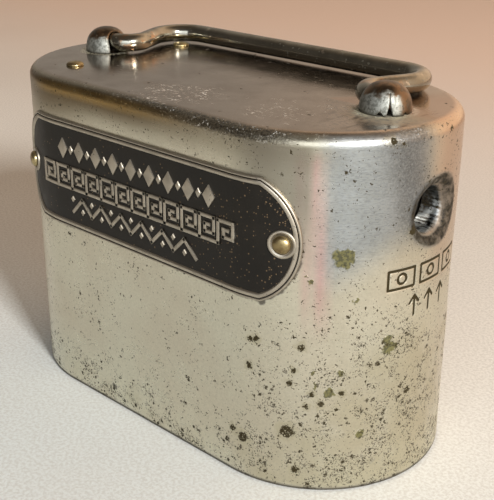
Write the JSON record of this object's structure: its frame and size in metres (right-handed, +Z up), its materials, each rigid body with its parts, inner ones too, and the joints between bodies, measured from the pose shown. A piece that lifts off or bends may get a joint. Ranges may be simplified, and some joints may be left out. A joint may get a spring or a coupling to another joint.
{
  "type": "money box",
  "caption": "Oval sheet-metal savings bank with a swinging wire handle, front nameplate, coin slot, round bill hole and a locking hinged base.",
  "frame": {"origin": "centre of the oval footprint, on the surface the box stands on", "axes": "+X towards the end with the round bill hole, -Y out of the nameplate side, +Z up"},
  "size_m": [0.113, 0.0579, 0.0838],
  "materials": {
    "body_nickel": "worn nickel plate, fine vertical brushing, pitted",
    "plate_black": "black enamelled field with a raised nickel border, worn",
    "brass": "tarnished",
    "handle_nickel": "tarnished nickel wire",
    "lug_nickel": "worn nickel with copper showing through",
    "inner_steel": "dull steel, light rust",
    "door_steel": "dull nickel plate, scuffed",
    "lock_steel": "oiled steel",
    "lock_brass": "oiled"
  },
  "bodies": {
    "bank": {"shell": "body_nickel", "nameplate": "plate_black", "nameplate_rivet_left": "brass", "nameplate_rivet_right": "brass", "handle_lug_left": "lug_nickel", "handle_lug_right": "lug_nickel", "coin_guard_bracket": "inner_steel", "guard_rivet_front": "brass", "guard_rivet_back": "brass", "coin_flap_pin": "inner_steel", "bill_guard_bracket": "inner_steel", "bill_flap_pin": "inner_steel", "base_ring": "inner_steel", "lock_keeper": "inner_steel", "shell_hinge_leaf": "inner_steel", "door_hinge_pin": "inner_steel"},
    "handle": {"handle": "handle_nickel"},
    "coin_flap": {"coin_flap": "inner_steel"},
    "bill_flap": {"bill_flap": "inner_steel"},
    "door": {"base_door": "door_steel", "door_hinge_leaf": "door_steel", "door_hinge_rivets": "door_steel", "keyhole_escutcheon": "lock_brass", "lock_back_plate": "lock_steel", "lock_case": "lock_steel", "lock_case_rivets": "door_steel", "lever_post": "lock_steel", "key_post": "lock_steel"},
    "bolt": {"lock_bolt": "lock_brass", "bolt_stump": "lock_steel"},
    "lever_1": {"lever_1": "lock_brass", "lever_spring_1": "lock_steel"},
    "lever_2": {"lever_2": "lock_brass", "lever_spring_2": "lock_steel"}
  },
  "joints": [
    {"name": "handle_swing", "type": "hinge", "parent": "bank", "child": "handle", "pos_m": [0, 0, 0.0804], "axis": [1, 0, 0], "range_deg": [0, 180]},
    {"name": "coin_flap_swing", "type": "hinge", "parent": "bank", "child": "coin_flap", "pos_m": [-0.049, 0, 0.074], "axis": [0, -1, 0], "range_deg": [-5, 70]},
    {"name": "bill_flap_swing", "type": "hinge", "parent": "bank", "child": "bill_flap", "pos_m": [0.0489, 0, 0.0694], "axis": [0, 1, 0], "range_deg": [0, 75]},
    {"name": "door_hinge", "type": "hinge", "parent": "bank", "child": "door", "pos_m": [0, 0.0252, 0.0025], "axis": [1, 0, 0], "range_deg": [0, 105]},
    {"name": "bolt_slide", "type": "slide", "parent": "door", "child": "bolt", "axis": [0, -1, 0], "range_m": [0, 0.005]},
    {"name": "lever_1_lift", "type": "hinge", "parent": "door", "child": "lever_1", "pos_m": [0.002, -0.004, 0.0062], "axis": [0, 0, 1], "range_deg": [-7, 0]},
    {"name": "lever_2_lift", "type": "hinge", "parent": "door", "child": "lever_2", "pos_m": [0.002, -0.004, 0.0072], "axis": [0, 0, 1], "range_deg": [-7, 0]}
  ]
}
